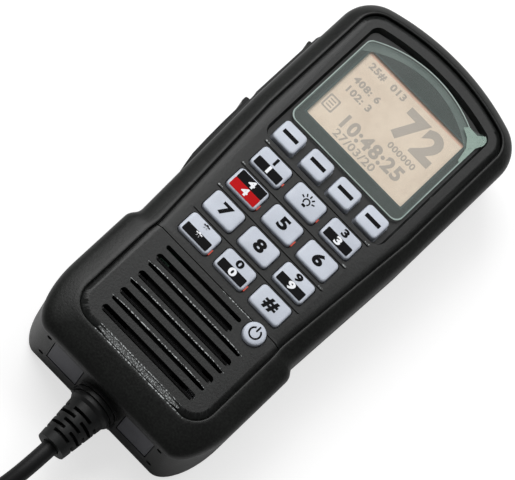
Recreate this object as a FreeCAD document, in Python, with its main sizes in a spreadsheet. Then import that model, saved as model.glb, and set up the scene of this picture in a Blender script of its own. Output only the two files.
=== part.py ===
import FreeCAD, Part
import math
import os

import Sketcher
from FreeCAD import Vector

# Marine handset lying on its back: X across the face, Y towards the display, Z up out of the face.
# Everything is drawn from the centre of the key field and then moved by face_x and face_y, so that
# the finished handset stands over the origin.

doc = FreeCAD.newDocument("marine_handset")
sheet = doc.addObject("Spreadsheet::Sheet", "Sizes")

SIZES = {
    # Place of the key field over the origin
    "face_x": 1.12, "face_y": 0.95,
    # Heights above the bench
    "part_line": 28.0, "rim_top": 35.0, "panel_under": 32.4, "panel_top": 35.3, "key_top": 37.0,
    "ledge_under": 31.0, "wall": 2.4, "board_under": 27.4, "board_thick": 1.6,
    # Plan of the shells
    "grip_half": 37.0, "neck_half": 34.8, "head_half": 37.1, "foot_y": -73.6, "head_y": 93.4,
    "foot_across": 10.0, "foot_along": 22.0, "head_corner": 14.0, "arch_radius": 88.0, "back_set": 0.25,
    "step_low": -28.5, "step_high": -22.5, "taper_end": 33.0,
    # Plan of the rim crest, inside which the two panels sit
    "crest_grip": 28.8, "crest_neck": 28.4, "crest_head": 32.2, "crest_foot_y": -63.6, "crest_head_y": 88.8,
    "crest_corner": 8.5, "lip": 0.5, "ledge": 2.0, "panel_gap": 0.3, "shoulder": 2.1,
    "seam_y": -24.1,
    # Keys
    "pitch_x": 16.0, "pitch_y": 11.1, "key_wide": 12.9, "key_tall": 8.2, "key_corner": 1.5,
    "key_slack": 0.35, "key_under": 31.6, "flange_thick": 0.7, "flange_extra": 0.8, "plunger_low": 30.55,
    "plunger_radius": 1.2, "dome_tall": 0.7,
    "soft_y": 28.8, "soft_pitch": 12.67, "soft_wide": 9.5, "soft_top": 36.4,
    "power_x": 19.04, "power_y": -27.1, "power_radius": 3.9,
    "rib_wide": 0.9, "rib_tall": 0.45, "rib_half": 24.0,
    # Display
    "pocket_half": 26.6, "pocket_low": 23.8, "pocket_high": 83.0, "pocket_floor": 33.0,
    "lens_half": 24.6, "lens_low": 35.2, "lens_high": 81.5, "lens_arch": 44.0, "lens_thick": 1.1, "lens_corner": 3.0,
    "film_thick": 0.2, "view_x": 43.6, "view_y": 31.6, "view_centre": 56.5,
    # Grille
    "grille_first": -26.6, "grille_pitch": 8.2, "slot_narrow": 1.5, "slot_wide": 2.7, "bar_wide": 2.3,
    "slot_left": -20.3, "slot_right": 20.8, "slot_right_short": 13.2,
    # Speaker and microphone
    "speaker_y": -41.5, "speaker_radius": 17.0, "speaker_rim": 30.7, "mic_x": 19.0, "mic_y": -56.8,
    # Side controls
    "side_low": 10.5, "side_high": 27.0, "side_start": -7.0, "side_end": 67.0, "side_inner": -33.2,
    "membrane": 0.4, "ptt_low": 12.2, "ptt_high": 25.3, "pin_x": -34.6, "pin_y": -1.2, "pin_radius": 0.95,
    "pin_play": 0.05, "window_gap": 0.3,
    # Cable end
    "cable_z": 17.0, "boot_start": -79.3, "boot_end": -95.3, "boot_big": 7.0, "boot_small": 5.4,
    "slit_count": 5, "slit_first": 2.6, "slit_step": 2.3, "slit_wide": 1.1, "slit_angle": 68.0,
    "slit_floor": 3.9,
    "plate_inner": 9.6, "plate_outer": 22.4, "plate_low": 9.4, "plate_high": 25.6,
    # Screws and rear insert
    "screw_radius": 1.25, "screw_head": 2.4, "boss_radius": 2.8, "screw_x": 29.8,
    "insert_y": 30.0, "insert_radius": 3.0, "insert_bore": 1.65, "insert_long": 6.0,
    # Cord
    "cord_wide": 5.7, "cord_rest": 3.9, "turn_step": 6.3, "coil_x": 5.4, "coil_y": -186.3,
    "coil_start": 135.0,
    "coil_out": 44.6, "coil_turns": 6.625, "tail": 20.0,
}

for row, (alias, number) in enumerate(SIZES.items(), start=1):
    sheet.set("A%d" % row, alias)
    sheet.set("B%d" % row, str(number))
    sheet.setAlias("B%d" % row, alias)
doc.recompute()

S = {alias: float(sheet.get(alias)) for alias in SIZES}
parts = []


# Placing and naming

def placed(item, label):
    """Give a finished sub-part its name and move it with the key field."""
    item.Label = label
    item.setExpression("Placement.Base.x", "Sizes.face_x")
    item.setExpression("Placement.Base.y", "Sizes.face_y")
    parts.append(item)
    return item


def formed(label, shape):
    """A sub-part whose shape is worked out here from the sheet's sizes, in place."""
    if not shape.Placement.isIdentity():
        raise RuntimeError("moved shape: " + label)
    item = doc.addObject("Part::Feature", label)
    item.Shape = shape
    return placed(item, label)


def bound(kind, name, **sizes):
    """A primitive whose properties follow expressions on the sheet."""
    item = doc.addObject(kind, name)
    for key, expression in sizes.items():
        item.setExpression(key.replace("_", "."), expression)
    return item


def at(item, x="0", y="0", z="0"):
    """Bind the place of a primitive."""
    item.setExpression("Placement.Base.x", x)
    item.setExpression("Placement.Base.y", y)
    item.setExpression("Placement.Base.z", z)
    return item


# Sketches and features inside a body

def new_body(label):
    return placed(doc.addObject("PartDesign::Body", label), label)


def new_sketch(body, name, role, height="0"):
    """A sketch on one of the body's own origin planes, lifted along its normal."""
    sketch = body.newObject("Sketcher::SketchObject", name)
    plane = next(item for item in body.Origin.OriginFeatures if item.Role == role)
    sketch.AttachmentSupport = [(plane, "")]
    sketch.MapMode = "FlatFace"
    sketch.setExpression("AttachmentOffset.Base.z", height)
    return sketch


def pin_point(sketch, edge, end, x, y):
    """Tie one point of the sketch to the origin by two expressions."""
    for kind, axis, expression in (("DistanceX", -2, x), ("DistanceY", -1, y)):
        amount = sketch.evalExpression(expression)
        if abs(amount) < 1e-9:
            sketch.addConstraint(Sketcher.Constraint("PointOnObject", edge, end, axis))
            continue
        if amount > 0:
            limit = Sketcher.Constraint(kind, -1, 1, edge, end, amount)
        else:
            limit = Sketcher.Constraint(kind, edge, end, -1, 1, -amount)
            expression = "-(%s)" % expression
        number = sketch.addConstraint(limit)
        sketch.setExpression("Constraints[%d]" % number, expression)


def polygon(sketch, corners):
    """A closed run of straight lines whose corners follow expressions."""
    spots = [Vector(sketch.evalExpression(x), sketch.evalExpression(y), 0) for x, y in corners]
    first = sketch.GeometryCount
    count = len(spots)
    for i in range(count):
        sketch.addGeometry(Part.LineSegment(spots[i], spots[(i + 1) % count]))
    for i in range(count):
        sketch.addConstraint(Sketcher.Constraint("Coincident", first + i, 2, first + (i + 1) % count, 1))
        pin_point(sketch, first + i, 1, *corners[i])
    return sketch


def rectangle(sketch, x, y, wide, tall):
    """A rectangle about a centre, all four values being expressions."""
    left, right = "%s-(%s)/2" % (x, wide), "%s+(%s)/2" % (x, wide)
    low, high = "%s-(%s)/2" % (y, tall), "%s+(%s)/2" % (y, tall)
    return polygon(sketch, [(left, low), (right, low), (right, high), (left, high)])


def circle(sketch, x, y, radius):
    spot = Vector(sketch.evalExpression(x), sketch.evalExpression(y), 0)
    edge = sketch.addGeometry(Part.Circle(spot, Vector(0, 0, 1), sketch.evalExpression(radius)))
    pin_point(sketch, edge, 3, x, y)
    number = sketch.addConstraint(Sketcher.Constraint("Radius", edge, sketch.evalExpression(radius)))
    sketch.setExpression("Constraints[%d]" % number, radius)
    return sketch


def pad(body, sketch, length):
    feature = body.newObject("PartDesign::Pad", sketch.Name + "_pad")
    feature.Profile = sketch
    feature.setExpression("Length", length)
    doc.recompute()
    return feature


def pocket(body, sketch, length, reverse=True):
    """A cut along the sketch's normal; the volume has to fall."""
    before = body.Shape.Volume
    feature = body.newObject("PartDesign::Pocket", sketch.Name + "_cut")
    feature.Profile = sketch
    feature.Reversed = reverse
    feature.setExpression("Length", length)
    doc.recompute()
    if body.Shape.Volume > before - 1e-6:
        raise RuntimeError("nothing was cut from " + body.Label)
    return feature


def turned(body, sketch, axis="V_Axis"):
    feature = body.newObject("PartDesign::Revolution", sketch.Name + "_turn")
    feature.Profile = sketch
    feature.ReferenceAxis = (sketch, [axis])
    feature.Angle = 360
    doc.recompute()
    return feature


def rounded(body, base, radius, chosen):
    """A fillet on the edges of the last feature that the test picks."""
    names = ["Edge%d" % (i + 1) for i, edge in enumerate(base.Shape.Edges) if chosen(edge)]
    feature = body.newObject("PartDesign::Fillet", base.Name + "_round")
    feature.Base = (base, names)
    feature.setExpression("Radius", radius)
    doc.recompute()
    return feature


def upright(edge):
    box = edge.BoundBox
    return box.XLength < 1e-6 and box.YLength < 1e-6


def level_at(height):
    return lambda edge: edge.BoundBox.ZLength < 1e-6 and abs(edge.BoundBox.ZMin - height) < 1e-4


# Plans of the casing

def quarter(centre, radius, start, end, z):
    """An arc about a centre between two angles in degrees."""
    spots = []
    for angle in (start, (start + end) / 2, end):
        turn = math.radians(angle)
        spots.append(Vector(centre[0] + radius * math.cos(turn), centre[1] + radius * math.sin(turn), z))
    return Part.Arc(*spots).toShape()


def plan(z, grip, neck, head, foot, top, foot_across, foot_along, head_corner, arch):
    """The handset's outline: square foot, stepped waist, wider head under an arch."""
    low, high = S["step_low"], S["step_high"]
    half_step = (high - low) / 2
    half_drop = (grip - neck) / 2
    bend = (half_drop ** 2 + half_step ** 2) / (2 * half_drop)
    spread = math.degrees(math.asin(half_step / bend))
    arch_y = top - arch
    oval_middle = Vector(grip - foot_across, foot + foot_along, z)
    oval = Part.Ellipse(oval_middle - Vector(0, foot_along, 0), oval_middle + Vector(foot_across, 0, 0), oval_middle)
    corner_x = head - head_corner
    corner_y = arch_y + math.sqrt((arch - head_corner) ** 2 - corner_x ** 2)
    lean = math.degrees(math.atan2(corner_y - arch_y, corner_x))
    right = [
        Part.LineSegment(Vector(0, foot, z), Vector(grip - foot_across, foot, z)).toShape(),
        Part.ArcOfEllipse(oval, 0, math.pi / 2).toShape(),
        Part.LineSegment(Vector(grip, foot + foot_along, z), Vector(grip, low, z)).toShape(),
        quarter((grip - bend, low), bend, 0, spread, z),
        quarter((neck + bend, high), bend, 180 + spread, 180, z),
        Part.LineSegment(Vector(neck, high, z), Vector(head, S["taper_end"], z)).toShape(),
        Part.LineSegment(Vector(head, S["taper_end"], z), Vector(head, corner_y, z)).toShape(),
        quarter((corner_x, corner_y), head_corner, 0, lean, z),
        quarter((0, arch_y), arch, lean, 90, z),
    ]
    mirror = FreeCAD.Matrix()
    mirror.A11 = -1
    left = [edge.transformGeometry(mirror) for edge in right]
    return Part.Wire(Part.__sortEdges__(right + left))


def casing(z, inset):
    """A level of the outside of the casing, drawn in by a distance."""
    return plan(z, S["grip_half"] - inset, S["neck_half"] - inset, S["head_half"] - inset,
                S["foot_y"] + inset, S["head_y"] - inset, S["foot_across"] - inset * 0.8,
                S["foot_along"] - inset * 0.8, S["head_corner"] - inset * 0.8, S["arch_radius"] - inset)


def crest(z, inset):
    """A level of the rim crest, drawn in by a distance."""
    return plan(z, S["crest_grip"] - inset, S["crest_neck"] - inset, S["crest_head"] - inset,
                S["crest_foot_y"] + inset, S["crest_head_y"] - inset, S["crest_corner"] - inset * 0.8,
                S["crest_corner"] - inset * 0.8, S["crest_corner"] - inset * 0.8, S["arch_radius"] - inset)


def bevel(z, share):
    """A level of the bevel, a share of the way from the crest out to the edge."""
    def mix(inner, outer):
        return inner + (outer - inner) * share
    return plan(z, mix(S["crest_grip"], S["grip_half"]), mix(S["crest_neck"], S["neck_half"]),
                mix(S["crest_head"], S["head_half"]), mix(S["crest_foot_y"], S["foot_y"]),
                mix(S["crest_head_y"], S["head_y"]), mix(S["crest_corner"], S["foot_across"]),
                mix(S["crest_corner"], S["foot_along"]),
                mix(S["crest_corner"], S["head_corner"]), S["arch_radius"])


def raised(wire, height):
    return Part.Face(wire).extrude(Vector(0, 0, height))


def lofted(wires, ruled=False):
    return Part.makeLoft(wires, True, ruled)


def block(x0, x1, y0, y1, z0, z1):
    return Part.makeBox(x1 - x0, y1 - y0, z1 - z0, Vector(x0, y0, z0))


def rod(radius, length, x, y, z, direction=Vector(0, 0, 1)):
    return Part.makeCylinder(radius, length, Vector(x, y, z), direction)


def soft_block(x, y, wide, tall, corner, z0, z1):
    """An upright block with rounded corners."""
    solid = block(x - wide / 2, x + wide / 2, y - tall / 2, y + tall / 2, z0, z1)
    return solid.makeFillet(corner, [edge for edge in solid.Edges if upright(edge)])


SCREWS = [(side * S["screw_x"], y) for y in (-60.0, -33.5, 74.0) for side in (-1, 1)]


# Front shell: the smooth rim that clamps both panels
outside = lofted([bevel(S["part_line"], 1.0), bevel(30.6, 0.955), bevel(33.4, 0.52),
                  bevel(S["rim_top"], 0.06)])
hollow = lofted([casing(S["part_line"] - 0.01, S["wall"]), crest(S["ledge_under"], -1.2)], True)
mouth = raised(crest(S["panel_under"], S["lip"]), 6)
throat = raised(crest(S["ledge_under"] - 1, S["lip"] + S["ledge"]), 4)
front_shell = outside.cut(hollow).cut(mouth).cut(throat)
for x, y in SCREWS:
    post = rod(S["boss_radius"], S["ledge_under"] + 0.2 - S["part_line"], x, y, S["part_line"])
    hole = rod(S["screw_radius"], 3.0, x, y, S["part_line"] - 0.01)
    front_shell = front_shell.fuse(post).cut(hole)
formed("front_shell", front_shell.removeSplitter())

# Rear shell: the deep back with bosses, side window, end recesses and insert seat
back_levels = [casing(0.0, 1.5), casing(0.8, 0.5), casing(2.5, S["back_set"]),
               casing(S["part_line"], S["back_set"])]
back = lofted(back_levels[:2], True).fuse(lofted(back_levels[1:3], True)).fuse(lofted(back_levels[2:], True))
cavity = lofted([casing(S["wall"], 4.2), casing(5.5, 2.65), casing(S["part_line"] + 0.01, 2.65)], True)
rear_shell = back.cut(cavity)
rear_shell = rear_shell.cut(block(-45, S["side_inner"] + 0.6, S["side_start"] - 0.1, S["side_end"] + 0.1,
                                  S["side_low"] - 0.1, S["side_high"] + 0.1))
for x, y in SCREWS:
    rear_shell = rear_shell.fuse(rod(S["boss_radius"], S["part_line"] - 1, x, y, 1.0))
    rear_shell = rear_shell.cut(rod(S["screw_radius"], 30, x, y, 0))
    rear_shell = rear_shell.cut(rod(S["screw_head"] + 0.1, 2.8, x, y, 0))
foot = S["foot_y"] + S["back_set"]
for side in (-1, 1):
    inner, outer = sorted((side * (S["plate_inner"] - 0.25), side * (S["plate_outer"] + 0.25)))
    rear_shell = rear_shell.cut(block(inner, outer, foot - 1, foot + 1.2, S["plate_low"] - 0.25,
                                      S["plate_high"] + 0.25))
    for z in (8.0, 25.4):
        rear_shell = rear_shell.cut(rod(1.05, 1.9, side * 24.8, foot - 1, z, Vector(0, 1, 0)))
rear_shell = rear_shell.cut(rod(5.9, 6, 0, foot - 1, S["cable_z"], Vector(0, 1, 0)))
rear_shell = rear_shell.fuse(rod(S["insert_radius"] + 2, S["insert_long"] + 1.6 - 1.0, 0, S["insert_y"], 1.0))
rear_shell = rear_shell.cut(rod(S["insert_radius"], S["insert_long"], 0, S["insert_y"], 0))
rear_shell = rear_shell.cut(soft_block(0, -18, 40, 46, 3, -1, 0.5))
for k in range(3):
    for side in (-1, 1):
        rear_shell = rear_shell.cut(rod(0.7, 62, side * (24.5 + 1.9 * k), -31, 0, Vector(0, 1, 0)))
formed("rear_shell", rear_shell.removeSplitter())

# Gasket between the shells
gasket = raised(casing(S["part_line"] - 1, 2.75), 1.1).cut(raised(casing(S["part_line"] - 1, 4.0), 2))
for x, y in SCREWS:
    gasket = gasket.cut(rod(S["boss_radius"] + 0.05, 4, x, y, S["part_line"] - 2))
formed("shell_gasket", gasket)


# Panels: the face panel above the seam and the grille panel below it
def panel_blank(y_low, y_high):
    base = S["lip"] + S["panel_gap"]
    blank = lofted([crest(S["panel_under"], base), crest(33.9, base), crest(S["panel_top"], base + S["shoulder"])],
                   True)
    return blank.common(block(-50, 50, y_low, y_high, 20, 50))


def arched(z, half, low, high, corner, arch):
    """A window outline: straight foot and sides, arched head, rounded corners."""
    arch_y = high - arch
    corner_x = half - corner
    corner_y = arch_y + math.sqrt((arch - corner) ** 2 - corner_x ** 2)
    lean = math.degrees(math.atan2(corner_y - arch_y, corner_x))
    right = [
        Part.LineSegment(Vector(0, low, z), Vector(half - corner, low, z)).toShape(),
        quarter((half - corner, low + corner), corner, -90, 0, z),
        Part.LineSegment(Vector(half, low + corner, z), Vector(half, corner_y, z)).toShape(),
        quarter((corner_x, corner_y), corner, 0, lean, z),
        quarter((0, arch_y), arch, lean, 90, z),
    ]
    mirror = FreeCAD.Matrix()
    mirror.A11 = -1
    left = [edge.transformGeometry(mirror) for edge in right]
    return Part.Wire(Part.__sortEdges__(right + left))


KEYS = [(row, column, (column - 1) * S["pitch_x"], (1.5 - row) * S["pitch_y"])
        for row in range(4) for column in range(3)]
SOFT = [((k - 1.5) * S["soft_pitch"], S["soft_y"]) for k in range(4)]

face_panel = panel_blank(S["seam_y"] + 0.15, 100)
for k in range(4):
    y = (2 - k) * S["pitch_y"]
    rib = soft_block(0, y, 2 * S["rib_half"], S["rib_wide"], 0.4, S["panel_top"] - 0.1,
                     S["panel_top"] + S["rib_tall"])
    face_panel = face_panel.fuse(rib)
for row, column, x, y in KEYS:
    face_panel = face_panel.cut(soft_block(x, y, S["key_wide"] + 2 * S["key_slack"],
                                           S["key_tall"] + 2 * S["key_slack"], S["key_corner"], 30, 40))
basin = lofted([arched(S["pocket_floor"], S["pocket_half"] - 0.6, S["pocket_low"] + 0.6, S["pocket_high"] - 0.9,
                       3.0, S["arch_radius"]),
                arched(S["panel_top"] + 0.1, S["pocket_half"] + 0.2, S["pocket_low"] - 0.2,
                       S["pocket_high"] + 0.4, 3.8, S["arch_radius"])], True)
face_panel = face_panel.cut(basin)
for x, y in SOFT:
    face_panel = face_panel.cut(soft_block(x, y, S["soft_wide"] + 2 * S["key_slack"],
                                           S["key_tall"] + 2 * S["key_slack"], S["key_corner"], 30, 40))
face_panel = face_panel.cut(block(-S["view_x"] / 2 - 0.6, S["view_x"] / 2 + 0.6,
                                  S["view_centre"] - S["view_y"] / 2 - 0.6,
                                  S["view_centre"] + S["view_y"] / 2 + 0.6, 30, 40))
power_hole = rod(S["power_radius"] + S["key_slack"], 10, S["power_x"], S["power_y"], 30)
face_panel = face_panel.cut(power_hole)
formed("face_panel", face_panel.removeSplitter())

# Grille panel: four pairs of slots, the wide one with a thin bar sunk in it
grille_panel = panel_blank(-100, S["seam_y"] - 0.15)
for k in range(4):
    top = S["grille_first"] - k * S["grille_pitch"]
    right = S["slot_right_short"] if k == 0 else S["slot_right"]
    middle = (S["slot_left"] + right) / 2
    length = right - S["slot_left"]
    narrow = top - S["slot_narrow"] / 2
    wide = top - S["slot_narrow"] - S["bar_wide"] - S["slot_wide"] / 2
    for y, height in ((narrow, S["slot_narrow"]), (wide, S["slot_wide"])):
        grille_panel = grille_panel.cut(soft_block(middle, y, length, height, height / 2 - 0.05, 30, 40))
    bar = soft_block(middle - 0.1, wide - 0.35, length + 0.6, 0.7, 0.3, S["panel_under"], 34.3)
    grille_panel = grille_panel.fuse(bar)
grille_panel = grille_panel.cut(power_hole)
formed("grille_panel", grille_panel.removeSplitter())

# Window lens, its adhesive gasket and the protective film with its tab
lens_under = S["pocket_floor"] + 0.15
lens_top = lens_under + S["lens_thick"]
formed("window_lens", raised(arched(lens_under, S["lens_half"], S["lens_low"], S["lens_high"],
                                    S["lens_corner"], S["lens_arch"]), S["lens_thick"]))
ring = raised(arched(S["pocket_floor"], S["lens_half"] - 0.3, S["lens_low"] + 0.3, S["lens_high"] - 0.3,
                     S["lens_corner"], S["lens_arch"]), 0.15)
ring = ring.cut(block(-S["view_x"] / 2 - 0.8, S["view_x"] / 2 + 0.8, S["view_centre"] - S["view_y"] / 2 - 0.8,
                      S["view_centre"] + S["view_y"] / 2 + 0.8, 30, 40))
formed("lens_gasket", ring)
film = raised(arched(lens_top, S["lens_half"] + 0.35, S["lens_low"] - 0.35, S["lens_high"] + 0.35,
                     S["lens_corner"], S["lens_arch"]), S["film_thick"])
tab = soft_block(0, 0, 7.0, 4.4, 1.5, lens_top, lens_top + S["film_thick"])
tab.rotate(Vector(0, 0, 0), Vector(0, 0, 1), 28)
tab.translate(Vector(22.6, 76.2, 0))
formed("screen_film", film.fuse(tab).common(block(-40, 26.2, 0, 100, 30, 40)).removeSplitter())

# Display module behind the window
body = new_body("lcd_frame")
sketch = rectangle(new_sketch(body, "lcd_frame_outer", "XY_Plane", "Sizes.board_under+Sizes.board_thick"),
                   "0", "Sizes.view_centre", "Sizes.view_x+9", "Sizes.view_y+8")
lcd_base = pad(body, sketch, "3.3")
sketch = rectangle(new_sketch(body, "lcd_frame_inner", "XY_Plane", "Sizes.board_under+Sizes.board_thick+0.6"),
                   "0", "Sizes.view_centre", "Sizes.view_x+6", "Sizes.view_y+5")
pocket(body, sketch, "4", reverse=True)
lcd_floor = "Sizes.board_under+Sizes.board_thick+0.6"
backlight = bound("Part::Box", "backlight", Length="Sizes.view_x+5.6", Width="Sizes.view_y+4.6", Height="1.5")
at(backlight, "-(Sizes.view_x+5.6)/2+Sizes.face_x", "Sizes.view_centre-(Sizes.view_y+4.6)/2+Sizes.face_y",
   lcd_floor)
backlight.Label = "backlight"
parts.append(backlight)
glass = bound("Part::Box", "lcd_glass", Length="Sizes.view_x+5.0", Width="Sizes.view_y+4.0", Height="1.0")
at(glass, "-(Sizes.view_x+5.0)/2+Sizes.face_x", "Sizes.view_centre-(Sizes.view_y+4.0)/2+Sizes.face_y",
   lcd_floor + "+1.5")
glass.Label = "lcd_glass"
parts.append(glass)


# Keys: a cap that stands through the panel on a wider flange that keeps it in, over a short plunger
def plunger(body, label, x, y):
    sketch = circle(new_sketch(body, label + "_plunger", "XY_Plane", "Sizes.plunger_low"), x, y,
                    "Sizes.plunger_radius")
    pad(body, sketch, "Sizes.key_under-Sizes.flange_thick-Sizes.plunger_low")


def key(label, x, y, wide, top):
    """One key cap with its retaining flange; x and y are expressions."""
    body = new_body(label)
    sketch = rectangle(new_sketch(body, label + "_cap", "XY_Plane", "Sizes.key_under"), x, y, wide,
                       "Sizes.key_tall")
    cap = pad(body, sketch, top + "-Sizes.key_under")
    cap = rounded(body, cap, "Sizes.key_corner-0.2", upright)
    cap = rounded(body, cap, "0.5", level_at(body.evalExpression(top)))
    sketch = rectangle(new_sketch(body, label + "_flange", "XY_Plane", "Sizes.key_under-Sizes.flange_thick"),
                       x, y, wide + "+2*Sizes.flange_extra", "Sizes.key_tall+2*Sizes.flange_extra")
    pad(body, sketch, "Sizes.flange_thick")
    plunger(body, label, x, y)


ROWS = ("first", "second", "third", "fourth")
SIDES = ("left", "middle", "right")
for row, column, x, y in KEYS:
    key("key_%s_%s" % (ROWS[row], SIDES[column]), "%d*Sizes.pitch_x" % (column - 1),
        "(%s)*Sizes.pitch_y" % (1.5 - row), "Sizes.key_wide", "Sizes.key_top")
for k in range(4):
    key("soft_key_%d" % (k + 1), "(%s)*Sizes.soft_pitch" % (k - 1.5), "Sizes.soft_y", "Sizes.soft_wide",
        "Sizes.soft_top")

body = new_body("power_key")
sketch = circle(new_sketch(body, "power_cap", "XY_Plane", "Sizes.key_under"), "Sizes.power_x", "Sizes.power_y",
                "Sizes.power_radius")
cap = pad(body, sketch, "Sizes.key_top-Sizes.key_under")
cap = rounded(body, cap, "0.6", level_at(S["key_top"]))
sketch = circle(new_sketch(body, "power_flange", "XY_Plane", "Sizes.key_under-Sizes.flange_thick"),
                "Sizes.power_x", "Sizes.power_y", "Sizes.power_radius+Sizes.flange_extra")
pad(body, sketch, "Sizes.flange_thick")
plunger(body, "power", "Sizes.power_x", "Sizes.power_y")

# Key mat: the silicone web round the flanges, held under the face panel
mat = block(-25.4, 25.4, -22.8, 34.6, 31.2, S["panel_under"])
for row, column, x, y in KEYS:
    mat = mat.cut(soft_block(x, y, S["key_wide"] + 2.2, S["key_tall"] + 2.1, 0.8, 30, 33))
for x, y in SOFT:
    mat = mat.cut(soft_block(x, y, S["soft_wide"] + 2.2, S["key_tall"] + 2.1, 0.8, 30, 33))
mat = mat.cut(rod(S["power_radius"] + S["flange_extra"] + 0.3, 5, S["power_x"], S["power_y"], 30))
formed("key_mat", mat)

# Snap domes on the board, one under each key
board_top = S["board_under"] + S["board_thick"]
spots = [(x, y) for row, column, x, y in KEYS] + SOFT + [(S["power_x"], S["power_y"])]
domes = [Part.makeCone(2.6, 1.4, S["dome_tall"], Vector(x, y, board_top)) for x, y in spots]
formed("snap_domes", Part.makeCompound(domes))

# Main board
body = new_body("main_board")
sketch = polygon(new_sketch(body, "board_plan", "XY_Plane", "Sizes.board_under"),
                 [("-25", "-31"), ("-16", "-31"), ("-13", "-22.6"), ("11", "-22.6"), ("14", "-32"), ("25", "-32"),
                  ("28.5", "-26.5"), ("28.5", "68"), ("17", "84"), ("-17", "84"), ("-28.5", "68"),
                  ("-28.5", "-26.5")])
pad(body, sketch, "Sizes.board_thick")

# Components on the underside of the board
chips = []
for name, x, y, wide, tall, deep in (("shield_can", -20, 30, 40, 34, 3.2), ("processor", -9, 2, 14, 14, 1.4),
                                     ("memory", 10, 4, 10, 7, 1.2), ("ribbon_socket", -12, 74, 24, 5, 2.6),
                                     ("crystal", 18, 16, 5, 3.2, 1.1), ("cable_socket", -8, -14, 16, 6, 5.0)):
    chip = bound("Part::Box", name, Length=str(wide), Width=str(tall), Height=str(deep))
    at(chip, str(x), str(y), "Sizes.board_under-%s" % deep)
    chips.append(chip)
group = doc.addObject("Part::Compound", "board_chips")
group.Links = chips
placed(group, "board_chips")

# Speaker: pressed frame, paper cone and magnet under the grille, behind a mesh
body = new_body("speaker_frame")
sketch = polygon(new_sketch(body, "speaker_section", "XZ_Plane", "-Sizes.speaker_y"),
                 [("9.2", "Sizes.speaker_rim-9"), ("10.2", "Sizes.speaker_rim-9"), ("14.6", "Sizes.speaker_rim"),
                  ("Sizes.speaker_radius", "Sizes.speaker_rim"), ("Sizes.speaker_radius", "Sizes.speaker_rim+1"),
                  ("14", "Sizes.speaker_rim+1"), ("9.2", "Sizes.speaker_rim-8")])
turned(body, sketch)
body = new_body("speaker_cone")
sketch = polygon(new_sketch(body, "cone_section", "XZ_Plane", "-Sizes.speaker_y"),
                 [("0", "Sizes.speaker_rim-5"), ("4", "Sizes.speaker_rim-6.2"), ("5", "Sizes.speaker_rim-6.2"),
                  ("13", "Sizes.speaker_rim+1"), ("Sizes.speaker_radius", "Sizes.speaker_rim+1"),
                  ("Sizes.speaker_radius", "Sizes.speaker_rim+1.3"), ("12.8", "Sizes.speaker_rim+1.3"),
                  ("4.9", "Sizes.speaker_rim-5.9"), ("4", "Sizes.speaker_rim-5.9"), ("0", "Sizes.speaker_rim-4.7")])
turned(body, sketch)
magnet = bound("Part::Cylinder", "speaker_magnet", Radius="9.2", Height="8.0")
magnet.Label = "speaker_magnet"
at(magnet, "Sizes.face_x", "Sizes.speaker_y+Sizes.face_y", "Sizes.speaker_rim-15.2")
parts.append(magnet)
mesh = bound("Part::Cylinder", "speaker_mesh", Radius="Sizes.speaker_radius", Height="0.4")
mesh.Label = "speaker_mesh"
at(mesh, "Sizes.face_x", "Sizes.speaker_y+Sizes.face_y", "Sizes.panel_under-0.4")
parts.append(mesh)

# Microphone capsule in its rubber boot
capsule = bound("Part::Cylinder", "mic_capsule", Radius="2.4", Height="3.2")
capsule.Label = "mic_capsule"
at(capsule, "Sizes.mic_x+Sizes.face_x", "Sizes.mic_y+Sizes.face_y", "28.0")
parts.append(capsule)
mic_outer = at(bound("Part::Cylinder", "mic_boot_outer", Radius="3.4", Height="6.0"), "Sizes.mic_x",
               "Sizes.mic_y", "26.2")
mic_inner = at(bound("Part::Cylinder", "mic_boot_inner", Radius="2.4", Height="5.0"), "Sizes.mic_x",
               "Sizes.mic_y", "28.0")
mic_boot = doc.addObject("Part::Cut", "mic_boot")
mic_boot.Base = mic_outer
mic_boot.Tool = mic_inner
placed(mic_boot, "mic_boot")


# Side controls: a bezel let into the left wall carries the talk lever and a second key
def side_prism(points, z0, z1):
    wire = Part.makePolygon([Vector(x, y, z0) for x, y in points + points[:1]])
    return Part.Face(wire).extrude(Vector(0, 0, z1 - z0))


inner = S["side_inner"]
bezel = side_prism([(inner, S["side_start"]), (-35.2, S["side_start"]), (-35.9, 0), (-37.3, 20), (-37.8, 34),
                    (-37.8, 64), (-36.9, S["side_end"]), (inner, S["side_end"])], S["side_low"], S["side_high"])
window_low, window_high = S["ptt_low"] - S["window_gap"], S["ptt_high"] + S["window_gap"]
bezel = bezel.cut(block(-45, -30, -3.8, 32.9, window_low, window_high))
bezel = bezel.cut(block(-45, -30, 34.7, 62.8, window_low, window_high))
bezel = bezel.cut(block(-35.5, -30, 33.9, 63.6, window_low, window_high))
bezel = bezel.cut(rod(S["pin_radius"], 16.0, S["pin_x"], S["pin_y"], S["side_low"] + 0.4))
formed("side_bezel", bezel)

lever = side_prism([(-33.7, -3.3), (-35.7, -3.3), (-36.7, 0.8), (-37.5, 5), (-38.0, 12), (-38.4, 20),
                    (-38.6, 29.2), (-39.4, 30.4), (-39.4, 32.0), (-38.6, 32.4), (-34.8, 32.4), (-35.2, 4)],
                   S["ptt_low"], S["ptt_high"])
lever = lever.cut(rod(S["pin_radius"] + S["pin_play"], 20, S["pin_x"], S["pin_y"], 8))
formed("ptt_lever", lever)
pin = bound("Part::Cylinder", "ptt_pin", Radius="Sizes.pin_radius", Height="16.0")
pin.Label = "ptt_pin"
at(pin, "Sizes.pin_x+Sizes.face_x", "Sizes.pin_y+Sizes.face_y", "Sizes.side_low+0.4")
parts.append(pin)
side_key = side_prism([(-34.5, 34.2), (-35.2, 34.2), (-35.2, 35.0), (-37.9, 35.0), (-38.3, 36.0), (-38.3, 60.6),
                       (-39.0, 61.4), (-39.0, 62.2), (-38.4, 62.5), (-35.2, 62.5), (-35.2, 63.3),
                       (-34.5, 63.3)], S["ptt_low"], S["ptt_high"])
formed("side_key", side_key)

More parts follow.
